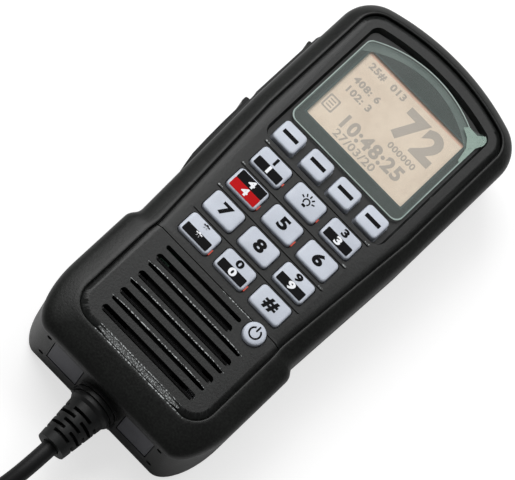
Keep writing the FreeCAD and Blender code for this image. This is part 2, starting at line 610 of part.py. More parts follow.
# Rubber membrane behind both side controls, then their switches on a small upright board
for label, x, wide, y, long, z, tall in (("side_membrane", inner, "Sizes.membrane", S["side_start"], 74, 10.5, 16.5),
                                         ("ptt_switch", inner + 0.5, "3.4", 21, 6, 15.8, 6),
                                         ("side_switch", inner + 0.5, "3.4", 45.5, 6, 15.8, 6),
                                         ("switch_board", inner + 3.9, "1.0", 14, 46, 13, 14.4)):
    piece = bound("Part::Box", label, Length=wide, Width=str(long), Height=str(tall))
    piece.Label = label
    at(piece, "%s+Sizes.face_x" % x, "%s+Sizes.face_y" % y, str(z))
    parts.append(piece)

# Cable gland: the ringed collar with its two ears, clamped in the end wall
body = new_body("cable_gland")
sketch = polygon(new_sketch(body, "gland_section", "XY_Plane", "Sizes.cable_z"),
                 [("0", "-69.6"), ("7.4", "-69.6"), ("7.4", "-70.9"), ("5.9", "-70.9"), ("5.9", "-73.35"),
                  ("8.3", "-73.35"), ("8.3", "-74.5"), ("7.3", "-74.5"), ("7.3", "-75.2"), ("8.1", "-75.2"),
                  ("8.1", "-76.3"), ("7.1", "-76.3"), ("7.1", "-77.0"), ("7.8", "-77.0"), ("7.8", "-78.2"),
                  ("7.0", "Sizes.boot_start"), ("0", "Sizes.boot_start")])
turned(body, sketch)
sketch = new_sketch(body, "gland_ears", "XZ_Plane", "75.0")
circle(sketch, "-7.0", "Sizes.cable_z-1.4", "1.9")
circle(sketch, "7.0", "Sizes.cable_z-1.4", "1.9")
pad(body, sketch, "2.3")

# Cable boot: tapered, with rows of staggered slits and a mouth for the cord
start, end = S["boot_start"], S["boot_end"]
outward = Vector(0, -1, 0)
boot = Part.makeCone(S["boot_big"], S["boot_small"], start - end, Vector(0, start, S["cable_z"]), outward)
boot = boot.cut(rod(S["cord_wide"] / 2 + 0.35, 5.0, 0, end - 1, S["cable_z"], Vector(0, 1, 0)))
for row in range(int(S["slit_count"])):
    middle = Vector(0, start - S["slit_first"] - S["slit_step"] * row, S["cable_z"])
    for k in range(4):
        turn = 90 * k + (45 if row % 2 else 0) - S["slit_angle"] / 2
        slit = Part.makeCylinder(S["boot_big"] + 1, S["slit_wide"], middle, outward, S["slit_angle"])
        slit.rotate(middle, outward, turn)
        core = Part.makeCylinder(S["slit_floor"], S["slit_wide"], middle, outward)
        boot = boot.cut(slit.cut(core))
formed("cable_boot", boot)

# End plates: two identical inserts either side of the gland
plates = []
for side in (-1, 1):
    x0, x1 = sorted((side * S["plate_inner"], side * S["plate_outer"]))
    plates.append(block(x0, x1, foot + 0.15, foot + 1.2, S["plate_low"], S["plate_high"]))
formed("end_plates", Part.makeCompound(plates))

# Screws: six through the back into the front shell's bosses
screws = []
for x, y in SCREWS:
    screw = rod(S["screw_head"], 2.0, x, y, 0.8).fuse(rod(S["screw_radius"], 27.6, x, y, 2.6))
    slot = block(x - 1.6, x + 1.6, y - 0.35, y + 0.35, 0.7, 1.6).fuse(block(x - 0.35, x + 0.35, y - 1.6, y + 1.6,
                                                                            0.7, 1.6))
    screws.append(screw.cut(slot))
formed("housing_screws", Part.makeCompound(screws))

# Threaded insert for a hanger stud, moulded into the back
body = new_body("hanger_insert")
sketch = new_sketch(body, "insert_outer", "XY_Plane", "0")
circle(sketch, "0", "Sizes.insert_y", "Sizes.insert_radius")
circle(sketch, "0", "Sizes.insert_y", "Sizes.insert_bore")
pad(body, sketch, "Sizes.insert_long")


# Cord
def bent_tube(points, radius):
    """A round tube along straight runs joined by tangent arcs; prints the arcs' radii."""
    edges = []
    reach = []
    last = points[0]
    for before, point, after in zip(points, points[1:], points[2:]):
        came = point - before
        goes = after - point
        turn = came.getAngle(goes)
        cut = 0.45 * min(came.Length, goes.Length)
        reach.append(cut / math.tan(turn / 2))
        a = point - came.normalize() * cut
        b = point + goes.normalize() * cut
        middle = (a + b) / 2
        chord = (b - a).Length / 2
        rise = chord * math.tan(turn / 4)
        edges.append(Part.LineSegment(last, a).toShape())
        edges.append(Part.Arc(a, middle + (point - middle).normalize() * rise, b).toShape())
        last = b
    edges.append(Part.LineSegment(last, points[-1]).toShape())
    wire = Part.Wire(edges)
    tube = piped(wire, points[0], points[1] - points[0], radius)
    print("cord radii", [round(value, 1) for value in reach], "length", round(wire.Length, 1))
    return tube


def piped(wire, spot, direction, radius):
    ring = Part.Wire([Part.Circle(spot, direction, radius).toShape()])
    tube = wire.makePipeShell([ring], True, False)
    expected = math.pi * radius ** 2 * wire.Length
    print("tube volume", round(tube.Volume), "expected", round(expected))
    return tube


def arc_from(a, apex, b):
    middle = (a + b) / 2
    rise = apex - middle
    chord = (b - a).Length / 2
    half = math.atan2(rise.Length, chord)
    return Part.Arc(a, middle + rise.normalize() * chord * math.tan(half / 2), b).toShape()


def biarc(a, ta, b, tb):
    """Two tangent arcs from a to b with the given directions."""
    v = b - a
    t = ta + tb
    k = 2 * (1 - ta.dot(tb))
    reach = (-v.dot(t) + math.sqrt(v.dot(t) ** 2 + k * v.dot(v))) / k
    apex_a = a + ta * reach
    apex_b = b - tb * reach
    join = (apex_a + apex_b) / 2
    return [arc_from(a, apex_a, join), arc_from(join, apex_b, b)]


coil_centre = Vector(S["coil_x"], S["coil_y"], 0)


def coil_spot(turn):
    """The cord's centre after so many turns: in on the bench, out again a layer up."""
    half = S["coil_turns"] / 2
    radius = S["coil_out"] - S["turn_step"] * (half - abs(turn - half))
    climb = min(max((turn - half) * 2 + 0.5, 0), 1)
    height = S["cord_rest"] + S["turn_step"] * climb * climb * (3 - 2 * climb)
    angle = math.radians(S["coil_start"]) + 2 * math.pi * turn
    return coil_centre + Vector(radius * math.cos(angle), radius * math.sin(angle), height)


def across(turn):
    """The level direction square to the radius after so many turns."""
    angle = math.radians(S["coil_start"]) + 2 * math.pi * turn
    return Vector(-math.sin(angle), math.cos(angle), 0)


def coil_direction(turn):
    small = 1e-4
    ahead = coil_spot(turn + small) - coil_spot(turn - small)
    return ahead.normalize()


half_cord = S["cord_wide"] / 2
spans = math.ceil(S["coil_turns"] * 4)
entry = coil_spot(0)
finish = coil_spot(S["coil_turns"])
inward, outward = across(0), across(S["coil_turns"])
lead_end = entry - inward * S["cord_wide"]
plug_end = finish + outward * S["tail"]
edges = [Part.LineSegment(lead_end, entry).toShape()]
for k in range(spans):
    a, b = S["coil_turns"] * k / spans, S["coil_turns"] * (k + 1) / spans
    first = inward if k == 0 else coil_direction(a)
    final = outward if k == spans - 1 else coil_direction(b)
    edges += biarc(coil_spot(a), first, coil_spot(b), final)
edges.append(Part.LineSegment(finish, plug_end).toShape())
coil_wire = Part.Wire(edges)
formed("cord_coil", piped(coil_wire, lead_end, inward, half_cord))
steps = [coil_spot(S["coil_turns"] * k / 320) for k in range(321)]
least = min((a - b).Length for i, a in enumerate(steps) for b in steps[i + 24:])
print("coil length", round(coil_wire.Length, 1), "least gap", round(least - S["cord_wide"], 2))

LEAD = [Vector(0, S["boot_end"] + 4.0, S["cable_z"]), Vector(0, -103, S["cable_z"]), Vector(-1.5, -117, 13.4),
        Vector(-6.1, -130.2, 7.9), Vector(-13.62, -142.25, S["cord_rest"]), lead_end]
formed("cord_lead", bent_tube(LEAD, half_cord))

# Tie round the coil's bundle, on the side away from the plug
band_in = S["coil_out"] - S["turn_step"] * S["coil_turns"] / 2 - half_cord - 0.7
band_out = S["coil_out"] + half_cord + 0.3
tie_low, tie_high = S["cord_rest"] - half_cord - 0.1, S["cord_rest"] + S["turn_step"] + half_cord + 0.1


def band(extra, long, corner):
    """A flat ring's outline round the bundle, as a block with rounded corners."""
    solid = block(S["coil_x"] - band_out - extra, S["coil_x"] - band_in + extra, S["coil_y"] - long / 2,
                  S["coil_y"] + long / 2, tie_low - extra, tie_high + extra)
    return solid.makeFillet(corner, [edge for edge in solid.Edges if edge.BoundBox.YLength > long - 1])


formed("cord_tie", band(0.8, 8, 3.2).cut(band(0, 10, 2.4)))

# Plug: boot, body, coupling nut, insulator and pins, lying beside the coil


def plug_turned(section):
    """A round piece of the plug; its section is radius and distance past the cord's end."""
    spots = [plug_end + Vector(radius, y, 0) for radius, y in section]
    face = Part.Face(Part.makePolygon(spots + spots[:1]))
    return face.revolve(plug_end, Vector(0, 1, 0), 360)


def plug_rod(radius, reach, turn, y, length):
    """A rod along the plug, so far from its axis at an angle."""
    return rod(radius, length, plug_end.x + reach * math.cos(turn), plug_end.y + y,
               plug_end.z + reach * math.sin(turn), Vector(0, 1, 0))


formed("plug_boot", plug_turned([(0, 0), (4.4, 0), (5.6, 16), (6.6, 17), (6.6, 20), (0, 20)]))
formed("plug_shell", plug_turned([(0, 20), (8.2, 20), (8.9, 20.8), (8.9, 27.5), (7.5, 27.5), (7.5, 31), (0, 31)]))
nut = plug_turned([(7.6, 27.7), (9.6, 27.7), (9.6, 42.0), (9.0, 42.6), (8.0, 42.6), (8.0, 31.2), (7.6, 31.2)])
for k in range(18):
    nut = nut.cut(plug_rod(0.7, 9.9, math.radians(20 * k), 29.5, 11))
formed("plug_nut", nut)
formed("plug_core", plug_turned([(0, 31), (7.3, 31), (7.3, 39.5), (6.9, 40), (0, 40)]))
formed("plug_pins", Part.makeCompound([plug_rod(0.5, 4.6, math.radians(45 * k), 40.0, 2.4) for k in range(8)]))

# Checks, then one file per sub-part
doc.recompute()
for item in doc.Objects:
    if "Invalid" in item.State or "Error" in item.State:
        raise RuntimeError("%s is %s" % (item.Label, item.State))
os.makedirs("parts", exist_ok=True)
whole = FreeCAD.BoundBox()
for item in parts:
    shape = item.Shape
    if shape.isNull() or not shape.isValid():
        raise RuntimeError("bad shape: " + item.Label)
    shape.exportStep(os.path.join("parts", item.Label + ".step"))
    if not item.Label.startswith(("cord_", "plug_")):
        whole.add(shape.BoundBox)
print(len(parts), "sub-parts")
print("handset x %.2f to %.2f, y %.2f to %.2f, z %.2f to %.2f" % (whole.XMin, whole.XMax, whole.YMin, whole.YMax,
                                                                 whole.ZMin, whole.ZMax))
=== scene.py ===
import math

import bmesh
import bpy
from mathutils import Matrix, Vector


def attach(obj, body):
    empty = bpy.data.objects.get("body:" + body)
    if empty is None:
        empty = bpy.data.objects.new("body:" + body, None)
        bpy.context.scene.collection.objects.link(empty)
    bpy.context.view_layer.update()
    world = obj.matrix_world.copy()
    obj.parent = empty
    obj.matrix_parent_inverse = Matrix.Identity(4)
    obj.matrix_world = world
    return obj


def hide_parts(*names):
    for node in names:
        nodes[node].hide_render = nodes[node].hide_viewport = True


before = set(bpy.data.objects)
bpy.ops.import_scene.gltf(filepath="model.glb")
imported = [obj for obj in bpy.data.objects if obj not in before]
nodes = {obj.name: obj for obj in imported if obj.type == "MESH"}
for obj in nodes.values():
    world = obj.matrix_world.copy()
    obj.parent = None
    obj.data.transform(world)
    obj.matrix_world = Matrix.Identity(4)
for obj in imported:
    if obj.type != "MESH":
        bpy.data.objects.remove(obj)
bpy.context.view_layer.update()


# Camera
# It stands beyond the cable end, looks down at the face and is rolled so that the cord leaves at the
# lower left. Places on the handset are in millimetres from the middle of the key field.
MM = 0.001
FACE_SHIFT = Vector((1.12, 0.95, 0.0))


def spot(x, y, z):
    """A point in metres from millimetres across the face, along it and above the bench."""
    return (Vector((x, y, z)) + FACE_SHIFT) * MM


CAMERA_PLACE = spot(45.693, -361.967, 968.082)
LONG_LENS = 218.92
camera_data = bpy.data.cameras.new("camera")
camera_data.sensor_fit = "HORIZONTAL"
camera_data.sensor_width = 36.0
camera_data.lens = LONG_LENS
camera_data.clip_end = 20.0
camera = bpy.data.objects.new("camera", camera_data)
bpy.context.scene.collection.objects.link(camera)
bpy.context.scene.camera = camera
look_right = Vector((0.69645, 0.68114, 0.22585)).normalized()
look_up = Vector((-0.71602, 0.63868, 0.28178)).normalized()
look_back = look_right.cross(look_up)
turned_axes = Matrix((look_right, look_up, look_back)).transposed().to_4x4()
camera.matrix_world = Matrix.Translation(CAMERA_PLACE) @ turned_axes


# Cord
# One round black rubber lead. It leaves the boot, drops to the bench, lies coiled there in two layers
# and runs straight into the plug.
class Shade:
    """A shader socket that writes sums as nodes; node() adds any other node beside it."""

    def __init__(self, tree, socket):
        self.tree = tree
        self.socket = socket

    def node(self, kind, settings=None, output=0, **inputs):
        """A node with its settings, then its inputs by name, or by number as at0, at1 and so on."""
        made = self.tree.nodes.new(kind)
        for key, value in (settings or {}).items():
            setattr(made, key, value)
        for key, value in inputs.items():
            slot = made.inputs[int(key[2:]) if key.startswith("at") else key.replace("_", " ")]
            if isinstance(value, Shade):
                self.tree.links.new(value.socket, slot)
            else:
                slot.default_value = value
        return Shade(self.tree, made.outputs[output])

    def sum(self, operation, first, second):
        return self.node("ShaderNodeMath", {"operation": operation}, at0=first, at1=second)

    def __add__(self, other):
        return self.sum("ADD", self, other)

    def __mul__(self, other):
        return self.sum("MULTIPLY", self, other)

    __radd__ = __add__
    __rmul__ = __mul__

    def between(self, low, high):
        """0 below low, 1 above high, smooth between."""
        return self.node("ShaderNodeMapRange", {"interpolation_type": "SMOOTHSTEP"},
                         Value=self, From_Min=low, From_Max=high)

    def noise(self, grain, detail):
        """Noise whose blobs are about so many millimetres across."""
        return self.node("ShaderNodeTexNoise", None, Vector=self, Scale=1000.0 / grain, Detail=detail)

    def mix(self, first, second):
        """The first colour at 0, the second at 1."""
        return self.node("ShaderNodeMix", {"data_type": "RGBA"}, output=2, at0=self, at6=first, at7=second)

    def into(self, shader, name):
        self.tree.links.new(self.socket, shader.inputs[name])


def paint(red, green, blue):
    """A colour as seen on the photograph, 0 to 255, made linear."""
    return tuple((value / 255) ** 2.2 for value in (red, green, blue)) + (1.0,)


def blank(name, **constants):
    """A new material, its shader and its object coordinates, with constants set on the shader."""
    material = bpy.data.materials.new(name)
    material.use_nodes = True
    tree = material.node_tree
    shader = tree.nodes["Principled BSDF"]
    for key, value in constants.items():
        shader.inputs[key.replace("_", " ")].default_value = value
    place = Shade(tree, tree.nodes.new("ShaderNodeTexCoord").outputs["Object"])
    return material, shader, place


def moulded(name, dark, light, rough, grain, depth, speckle=0.4, **constants):
    """Moulded plastic or rubber: an eroded grain as bump, with faint clouds of colour and gloss.

    The grain's size and depth are in millimetres; speckle is the grain's share in the colour.
    """
    material, shader, place = blank(name, **constants)
    clouds = place.noise(14.0, 3.0)
    fine = place.noise(grain, 4.0)
    shading = (clouds * (1.0 - speckle) + fine * speckle).between(0.32, 0.68)
    shading.mix(dark, light).into(shader, "Base Color")
    (clouds * 0.10 + fine * 0.10 + (rough - 0.10)).into(shader, "Roughness")
    bump = place.node("ShaderNodeBump", None, Strength=0.5, Distance=depth * MM, Height=fine)
    bump.into(shader, "Normal")
    return material


cord_rubber = moulded("cord_rubber", paint(12, 12, 13), paint(22, 22, 23), 0.5, 0.4, 0.02,
                      Specular_IOR_Level=0.25)
CORD_WIDE = 5.7
CORD_EXIT = (0, -91.3, 17.0)
COIL_CENTRE = Vector((5.4, -186.3))
COIL_OUT = 44.6
COIL_START = math.radians(135.0)
COIL_TURNS = 6.625
TURN_STEP = 6.3
CORD_REST = 3.9
TAIL = 20.0


def coil_spot(turn):
    """The cord's centre after so many turns: in on the bench, out again a layer up."""
    half = COIL_TURNS / 2
    radius = COIL_OUT - TURN_STEP * (half - abs(turn - half))
    climb = min(max((turn - half) * 2 + 0.5, 0), 1)
    height = CORD_REST + TURN_STEP * climb * climb * (3 - 2 * climb)
    angle = COIL_START + 2 * math.pi * turn
    return (COIL_CENTRE.x + radius * math.cos(angle), COIL_CENTRE.y + radius * math.sin(angle), height)


route = [CORD_EXIT, (0, -103, 17.0), (-1.5, -117, 13.4), (-6.1, -130.2, 7.9),
         (-13.62, -142.25, CORD_REST), (-22.11, -150.73, CORD_REST)]
COIL_POINTS = 106
route += [coil_spot(COIL_TURNS * k / COIL_POINTS) for k in range(COIL_POINTS + 1)]
coil_end = route[-1]
route += [(coil_end[0], coil_end[1] + reach, coil_end[2]) for reach in (TAIL * 0.5, TAIL)]

cord_curve = bpy.data.curves.new("cord", "CURVE")
cord_curve.dimensions = "3D"
cord_curve.bevel_depth = CORD_WIDE / 2 * MM
cord_curve.bevel_resolution = 6
cord_curve.resolution_u = 6
cord_curve.use_fill_caps = True
line = cord_curve.splines.new("NURBS")
line.points.add(len(route) - 1)
for point, place in zip(line.points, route):
    point.co = (*spot(*place), 1.0)
line.order_u = 3
line.use_endpoint_u = True
cord_curve.materials.append(cord_rubber)
cord = bpy.data.objects.new("cord", cord_curve)
bpy.context.scene.collection.objects.link(cord)
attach(cord, "handset")
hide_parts("cord_lead")
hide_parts("cord_coil")


# Plug and tie
# The far end's moulded boot and shell, a turning coupling nut, an insulator and its pins, all lying on
# the bench. A black strip goes round the coil.
def shown(name, bm, material, body="handset", angle=35.0):
    """Turn a bmesh into a smooth-shaded piece that rides on a body."""
    bmesh.ops.recalc_face_normals(bm, faces=bm.faces)
    mesh = bpy.data.meshes.new(name)
    bm.to_mesh(mesh)
    bm.free()
    mesh.shade_smooth()
    mesh.set_sharp_from_angle(angle=math.radians(angle))
    mesh.materials.append(material)
    piece = bpy.data.objects.new(name, mesh)
    bpy.context.scene.collection.objects.link(piece)
    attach(piece, body)
    return piece


def softened(node, width, material, body="handset", segments=3, angle=35.0):
    """A piece made from a CAD node with its sharp edges rounded off; it stands for that node."""
    bm = bmesh.new()
    bm.from_mesh(nodes[node].data)
    bmesh.ops.remove_doubles(bm, verts=bm.verts, dist=2e-6)
    bmesh.ops.dissolve_limit(bm, angle_limit=math.radians(1.0), verts=bm.verts, edges=bm.edges)
    sharp = [edge for edge in bm.edges if len(edge.link_faces) == 2
             and edge.calc_face_angle(0.0) > math.radians(angle)]
    bmesh.ops.bevel(bm, geom=sharp, offset=width * MM, segments=segments, profile=0.5,
                    affect="EDGES", clamp_overlap=True)
    piece = shown(node + "_visual", bm, material, body, 40.0)
    piece.modifiers.new("even", "WEIGHTED_NORMAL").keep_sharp = True
    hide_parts(node)
    return piece


plug_black = moulded("plug_plastic", paint(26, 26, 27), paint(40, 40, 42), 0.42, 0.3, 0.02)
pin_metal = moulded("pin_metal", paint(190, 150, 80), paint(222, 190, 120), 0.3, 0.2, 0.005, Metallic=1.0)
tie_strip = moulded("tie_strip", paint(18, 18, 19), paint(30, 30, 32), 0.6, 0.3, 0.03)
plug_pieces = [softened("plug_boot", 0.4, cord_rubber), softened("plug_shell", 0.3, plug_black),
               softened("plug_nut", 0.25, plug_black, "plug_nut_body"),
               softened("plug_core", 0.25, plug_black), softened("plug_pins", 0.2, pin_metal)]
tie = softened("cord_tie", 0.2, tie_strip)


# Front shell
# One black injection moulding with a fine eroded grain: a bevelled rim round the panels, held by screws
# from behind. Its plan is a square foot, a stepped waist and a wider, arched head.
def arc(x, y, radius, start, end, count):
    """Points along an arc, the last left to the next stretch."""
    turns = [math.radians(start + (end - start) * k / count) for k in range(count)]
    return [(x + radius * math.cos(turn), y + radius * math.sin(turn)) for turn in turns]


def run(x0, y0, x1, y1, count):
    """Points along a straight line, the last left to the next stretch."""
    return [(x0 + (x1 - x0) * k / count, y0 + (y1 - y0) * k / count) for k in range(count)]


def both_sides(right, z):
    """The right half, from the foot's middle to the head's, mirrored to a closed ring."""
    return [spot(x, y, z) for x, y in right] + [spot(-x, y, z) for x, y in right[-2:0:-1]]


def casing_ring(share, inset, z):
    """The outline at one height: share 1 is the outer edge and 0 the rim crest, drawn in by inset."""
    def mix(crest, edge):
        return crest + (edge - crest) * share
    grip = mix(28.8, 37.0) - inset
    neck = mix(28.4, 34.8) - inset
    head = mix(32.2, 37.1) - inset
    foot = mix(-63.6, -73.6) + inset
    top = mix(88.8, 93.4) - inset
    foot_across = mix(8.5, 10.0) - inset * 0.8
    foot_along = mix(8.5, 22.0) - inset * 0.8
    head_corner = mix(8.5, 14.0) - inset * 0.8
    arch = 88.0 - inset * share
    low, high, taper_end = -28.5, -22.5, 33.0
    half_step = (high - low) / 2
    half_drop = (grip - neck) / 2
    bend = (half_drop ** 2 + half_step ** 2) / (2 * half_drop)
    spread = math.degrees(math.asin(half_step / bend))
    corner_x = head - head_corner
    corner_y = top - arch + math.sqrt((arch - head_corner) ** 2 - corner_x ** 2)
    lean = math.degrees(math.atan2(corner_y - top + arch, corner_x))
    right = run(0, foot, grip - foot_across, foot, 8)
    right += [(grip + foot_across * (x - 1), foot + foot_along * (y + 1))
              for x, y in arc(0, 0, 1, -90, 0, 18)]
    right += run(grip, foot + foot_along, grip, low, 8)
    right += arc(grip - bend, low, bend, 0, spread, 6)
    right += arc(neck + bend, high, bend, 180 + spread, 180, 6)
    right += run(neck, high, head, taper_end, 12)
    right += run(head, taper_end, head, corner_y, 8)
    right += arc(corner_x, corner_y, head_corner, 0, lean, 14)
    right += arc(0, top - arch, arch, lean, 90, 16) + [(0, top)]
    return both_sides(right, z)


def stack(rings, capped=True):
    """Skin a run of equal rings; uncapped, the last joins the first."""
    bm = bmesh.new()
    rows = [[bm.verts.new(point) for point in ring] for ring in rings]
    pairs = list(zip(rows, rows[1:])) + ([] if capped else [(rows[-1], rows[0])])
    for low, high in pairs:
        for i in range(len(low)):
            j = (i + 1) % len(low)
            bm.faces.new((low[i], low[j], high[j], high[i]))
    if capped:
        bm.faces.new(rows[0][::-1])
        bm.faces.new(rows[-1])
    return bm


shell_black = moulded("shell_black", paint(9, 10, 9), paint(25, 27, 25), 0.42, 0.7, 0.12, 0.75,
                      Specular_IOR_Level=0.28)
PART_LINE = 28.0
SEAM = [(0.45, PART_LINE), (0.12, 28.15), (0.0, 28.45)]
BEVEL = [(1.0, 28.9), (0.992, 29.7), (0.955, 30.6), (0.90, 31.3), (0.82, 31.95), (0.73, 32.5),
         (0.63, 32.95), (0.52, 33.4), (0.40, 33.85), (0.28, 34.25), (0.17, 34.6), (0.08, 34.86)]
CREST = [(0.0, 34.97), (0.22, 34.95), (0.42, 34.8), (0.5, 34.5)]
PANEL_LEDGE = [(0.5, 32.4), (2.5, 32.4), (2.5, 31.0), (-1.2, 31.0)]
WALL = 2.4
levels = [casing_ring(1.0, inset, z) for inset, z in SEAM]
levels += [casing_ring(share, 0.0, z) for share, z in BEVEL]
levels += [casing_ring(0.0, inset, z) for inset, z in CREST + PANEL_LEDGE]
levels += [casing_ring(1.0, WALL, PART_LINE)]
front_shell = shown("front_shell_visual", stack(levels, capped=False), shell_black)
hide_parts("front_shell")


# Rear shell
# The deep half of the casing, moulded in the same plastic. It has the opening for the side controls,
# the recesses in the foot and the wells for the screws.
softened("rear_shell", 0.3, shell_black, angle=50.0)


# Panels
# Two black mouldings that lie in the rim and meet at a seam: the key panel, with the pocket of the
# display and ribs between the rows, and the grille panel, with its slots.
panel_black = moulded("panel_black", paint(9, 10, 10), paint(27, 29, 28), 0.42, 0.7, 0.1, 0.75,
                      Specular_IOR_Level=0.3)
softened("face_panel", 0.18, panel_black, segments=2)
softened("grille_panel", 0.2, panel_black, segments=2)


# Keys
# Pale blue-grey silicone caps, crowned and rounded, each on a flange that the key panel holds down.
# Signs and the black and red fields are printed on top; a round cap beside the grille is for power.
key_grey = moulded("key_grey", paint(176, 182, 193), paint(192, 198, 209), 0.45, 0.25, 0.01,
                   Subsurface_Weight=0.08, Subsurface_Radius=(0.002, 0.002, 0.002))
ink_black = moulded("ink_black", paint(14, 14, 16), paint(20, 20, 22), 0.6, 0.3, 0.004,
                    Specular_IOR_Level=0.08)
ink_white = moulded("ink_white", paint(222, 224, 228), paint(236, 238, 242), 0.4, 0.3, 0.004)
ink_red = moulded("ink_red", paint(172, 10, 16), paint(188, 18, 24), 0.6, 0.3, 0.004,
                  Specular_IOR_Level=0.1)
KEY_TOP = 36.97
KEY_WIDE = 12.9
KEY_TALL = 8.2
KEY_CORNER = 1.5
KEY_STEP_ACROSS = 16.0
KEY_STEP_ALONG = 11.1
KEY_SHOULDER = 0.75
KEY_CROWN = 0.12
FLANGE_REACH = 0.8
FLANGE_LOW = 30.9
FLANGE_HIGH = 31.6
OVERPRINT = 0.01
PRINT_THICK = 0.02
ROWS = ("first", "second", "third", "fourth")
SIDES = ("left", "middle", "right")


def key_place(row_name, side_name):
    """The middle of a key, in millimetres from the middle of the field."""
    return ((SIDES.index(side_name) - 1) * KEY_STEP_ACROSS, (1.5 - ROWS.index(row_name)) * KEY_STEP_ALONG)


def rounded_ring(x, y, wide, tall, corner, z, steps=6):
    """A rectangle with round corners as a ring at one height."""
    points = []
    for k, (sx, sy) in enumerate(((1, -1), (1, 1), (-1, 1), (-1, -1))):
        cx, cy = x + sx * (wide / 2 - corner), y + sy * (tall / 2 - corner)
        for step in range(steps + 1):
            turn = math.radians(-90 + 90 * k + 90 * step / steps)
            points.append(spot(cx + corner * math.cos(turn), cy + corner * math.sin(turn), z))
    return points


def key_cap(node, x, y, wide, top):
    """A cap with upright sides, a round shoulder and a slightly crowned top, on its flange."""
    flange = [rounded_ring(x, y, wide + 2 * FLANGE_REACH, KEY_TALL + 2 * FLANGE_REACH, 0.6, z)
              for z in (FLANGE_LOW, FLANGE_HIGH)]
    side_top = top - KEY_CROWN - KEY_SHOULDER
    side = [rounded_ring(x, y, wide, KEY_TALL, KEY_CORNER, z) for z in (FLANGE_HIGH, 33.5, side_top)]
    round_over = []
    for step in range(1, 7):
        turn = math.radians(15 * step)
        draw_in = KEY_SHOULDER * (1 - math.cos(turn))
        round_over.append(rounded_ring(x, y, wide - 2 * draw_in, KEY_TALL - 2 * draw_in,
                                       KEY_CORNER - draw_in * 0.8, side_top + KEY_SHOULDER * math.sin(turn)))
    flat_wide = wide - 2 * KEY_SHOULDER
    flat_tall = KEY_TALL - 2 * KEY_SHOULDER
    crown = [rounded_ring(x, y, flat_wide - cut, flat_tall - cut, 0.5, top - drop)
             for cut, drop in ((1.2, 0.085), (2.8, 0.05), (5.0, 0.03))]
    piece = shown(node + "_visual", stack(flange + side + round_over + crown), key_grey, node + "_body", 50.0)
    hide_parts(node)


def badge(name, x, y, wide, tall, corner, z, material, body):
    """A thin printed patch."""
    rings = [rounded_ring(x, y, wide, tall, corner, height) for height in (z - PRINT_THICK, z)]
    shown(name, stack(rings), material, body)


def lettering(name, words, size, x, y, z, material, body, stretch=1.0, bold=0.045):
    """Plain numerals or signs as a thin raised print, centred on a point; bold is a share of the size."""
    curve = bpy.data.curves.new(name, "FONT")
    curve.body = words
    curve.size = size * MM
    curve.align_x = "CENTER"
    curve.align_y = "CENTER"
    curve.extrude = 0.008 * MM
    curve.offset = size * bold * MM
    curve.space_character = 1.0 + bold * 3.0
    curve.resolution_u = 4
    source = bpy.data.objects.new(name + "_source", curve)
    bpy.context.scene.collection.objects.link(source)
    bpy.context.view_layer.update()
    mesh = bpy.data.meshes.new_from_object(source.evaluated_get(bpy.context.evaluated_depsgraph_get()))
    bpy.data.objects.remove(source)
    mesh.transform(Matrix.Translation(spot(x, y, z)) @ Matrix.Diagonal((stretch, 1.0, 1.0, 1.0)))
    mesh.materials.clear()
    mesh.materials.append(material)
    piece = bpy.data.objects.new(name, mesh)
    bpy.context.scene.collection.objects.link(piece)
    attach(piece, body)


PLAIN_SIGN = 5.6
SMALL_SIGN = 3.6
INLAY_DROP = 1.75
BAND_WIDE = 11.0
BAND_TALL = 3.5
PLAIN = {("second", "middle"): "5", ("second", "right"): "6", ("third", "left"): "7",
         ("third", "middle"): "8", ("fourth", "right"): "#"}
INLAID = {("first", "left"): "1", ("first", "right"): "3", ("third", "right"): "9", ("fourth", "left"): "*",
          ("fourth", "middle"): "0"}
for row_name in ROWS:
    for side_name in SIDES:
        x, y = key_place(row_name, side_name)
        node = "key_%s_%s" % (row_name, side_name)
        body = node + "_body"
        key_cap(node, x, y, KEY_WIDE, KEY_TOP)
        place_name = (row_name, side_name)
        if place_name in PLAIN:
            lettering(node + "_sign", PLAIN[place_name], PLAIN_SIGN, x, y, KEY_TOP, ink_black, body, 1.4)
        elif place_name in INLAID:
            sign = INLAID[place_name]
            badge(node + "_inlay", x, y - INLAY_DROP, 10.8, 3.3, 0.4, KEY_TOP - OVERPRINT, ink_black, body)
            lettering(node + "_sign", sign, SMALL_SIGN, x, y - 1.7, KEY_TOP + OVERPRINT, ink_white, body, 1.5)
            lettering(node + "_upper", sign, SMALL_SIGN, x, y + 1.9, KEY_TOP, ink_black, body, 1.5)

# The second row's left key has a black band over a red one
body = "key_second_left_body"
band_x, band_y = key_place("second", "left")
for name, ink, side in (("band_black", ink_black, 0.5), ("band_red", ink_red, -0.5)):
    badge(name, band_x, band_y + side * BAND_TALL, BAND_WIDE, BAND_TALL, 0.3, KEY_TOP - OVERPRINT, ink, body)
for name, rise in (("band_upper_sign", 1.75), ("band_lower_sign", -1.7)):
    lettering(name, "4", SMALL_SIGN, band_x, band_y + rise, KEY_TOP + OVERPRINT, ink_white, body, 1.3)

# Four lower keys stand in a row under the display, each with a printed dash
SOFT_STEP = 12.67
SOFT_PLACE = 28.8
SOFT_WIDE = 9.5
SOFT_TOP = 36.37
for k in range(4):
    node = "soft_key_%d" % (k + 1)
    x = (k - 1.5) * SOFT_STEP
    key_cap(node, x, SOFT_PLACE, SOFT_WIDE, SOFT_TOP)
    badge(node + "_dash", x, SOFT_PLACE + 0.1, 6.3, 1.5, 0.2, SOFT_TOP, ink_black, node + "_body")


def disc_rings(x, y, levels, count=48):
    """Circles about a point from (radius, height) pairs."""
    turns = [2 * math.pi * k / count for k in range(count)]
    return [[spot(x + radius * math.cos(turn), y + radius * math.sin(turn), z) for turn in turns]
            for radius, z in levels]


